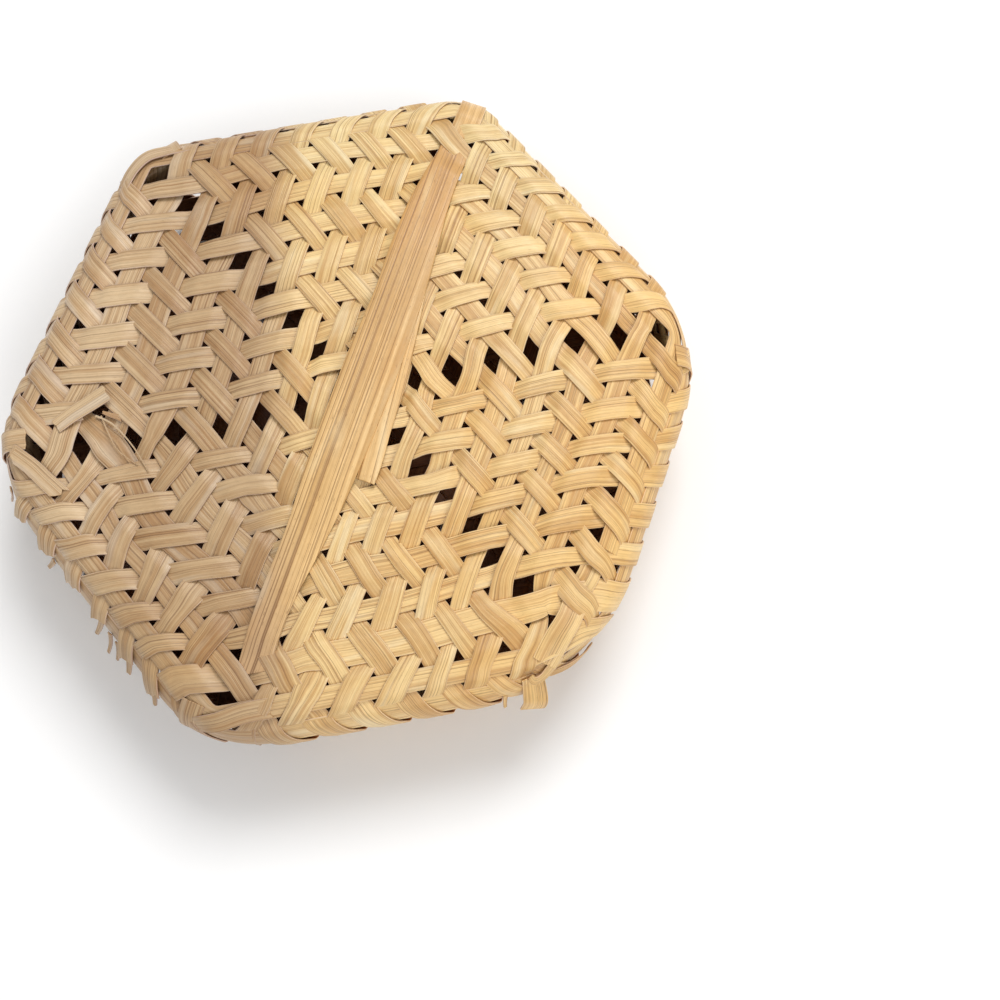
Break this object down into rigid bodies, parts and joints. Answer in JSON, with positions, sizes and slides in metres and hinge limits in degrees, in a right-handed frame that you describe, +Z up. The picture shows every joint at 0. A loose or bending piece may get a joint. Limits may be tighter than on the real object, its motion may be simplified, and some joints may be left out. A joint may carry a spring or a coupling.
{
  "type": "lidded bamboo basket",
  "caption": "Shallow hexagonal box of plaited bamboo strips: an open-weave lid with loose splints along its top drops over a tray base.",
  "frame": {"origin": "centre of the footprint, on the surface that the base stands on", "axes": "+Z up, +X along the strips that run parallel to the front edge and through two corners, -Y to the front"},
  "size_m": [0.1309, 0.122, 0.0288],
  "materials": {
    "bamboo_strip": "split bamboo, unfinished, satin along the grain",
    "bamboo_splint": "split bamboo outer layer, unfinished, warmer and flecked",
    "bamboo_plait": "plaited split bamboo, unfinished"
  },
  "bodies": {
    "base": {"base_tray": "bamboo_plait"},
    "lid": {"lid_a_strip_01": "bamboo_strip", "lid_a_strip_02": "bamboo_strip", "lid_a_strip_03": "bamboo_strip", "lid_a_strip_04": "bamboo_strip", "lid_a_strip_05": "bamboo_strip", "lid_a_strip_06": "bamboo_strip", "lid_a_strip_07": "bamboo_strip", "lid_a_strip_08": "bamboo_strip", "lid_a_strip_09": "bamboo_strip", "lid_a_strip_10": "bamboo_strip", "lid_a_strip_11": "bamboo_strip", "lid_a_strip_12": "bamboo_strip", "lid_a_strip_13": "bamboo_strip", "lid_a_strip_14": "bamboo_strip", "lid_b_strip_01": "bamboo_strip", "lid_b_strip_02": "bamboo_strip", "lid_b_strip_03": "bamboo_strip", "lid_b_strip_04": "bamboo_strip", "lid_b_strip_05": "bamboo_strip", "lid_b_strip_06": "bamboo_strip", "lid_b_strip_07": "bamboo_strip", "lid_b_strip_08": "bamboo_strip", "lid_b_strip_09": "bamboo_strip", "lid_b_strip_10": "bamboo_strip", "lid_b_strip_11": "bamboo_strip", "lid_b_strip_12": "bamboo_strip", "lid_b_strip_13": "bamboo_strip", "lid_b_strip_14": "bamboo_strip", "lid_c_strip_01": "bamboo_strip", "lid_c_strip_02": "bamboo_strip", "lid_c_strip_03": "bamboo_strip", "lid_c_strip_04": "bamboo_strip", "lid_c_strip_05": "bamboo_strip", "lid_c_strip_06": "bamboo_strip", "lid_c_strip_07": "bamboo_strip", "lid_c_strip_08": "bamboo_strip", "lid_c_strip_09": "bamboo_strip", "lid_c_strip_10": "bamboo_strip", "lid_c_strip_11": "bamboo_strip", "lid_c_strip_12": "bamboo_strip", "lid_c_strip_13": "bamboo_strip", "lid_c_strip_14": "bamboo_strip", "lid_fold_hoop": "bamboo_strip", "lid_wall_hoop": "bamboo_strip", "lid_long_splint": "bamboo_splint", "lid_short_splint": "bamboo_splint"}
  },
  "joints": [
    {"name": "lid_lift", "type": "slide", "parent": "base", "child": "lid", "axis": [0, 0, 1], "range_m": [0, 0.04]}
  ]
}
